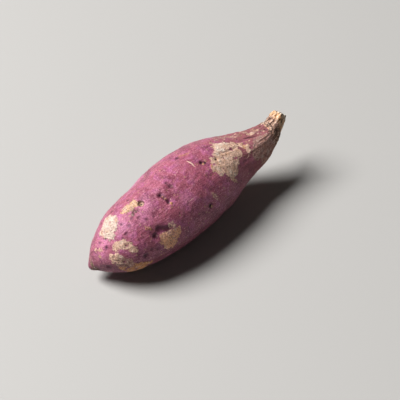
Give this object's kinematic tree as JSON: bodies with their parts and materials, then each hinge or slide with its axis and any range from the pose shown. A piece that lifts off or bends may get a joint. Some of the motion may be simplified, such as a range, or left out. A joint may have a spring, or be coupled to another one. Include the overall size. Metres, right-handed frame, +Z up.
{
  "type": "purple sweet potato",
  "caption": "Whole raw purple sweet potato: a curved spindle with a pointed root tip, a ridged neck and a broken woody stem stub, lying on its belly.",
  "frame": {"origin": "on the surface that the tuber lies on, under the middle of its box", "axes": "+X along the length, from the root tip to the stem stub; +Z up, away from the surface that it lies on"},
  "size_m": [0.1732, 0.0586, 0.0541],
  "materials": {
    "skin": "dull, dry purple skin with tan corky scurf"
  },
  "bodies": {
    "root": {"tuber": "skin"}
  },
  "joints": []
}
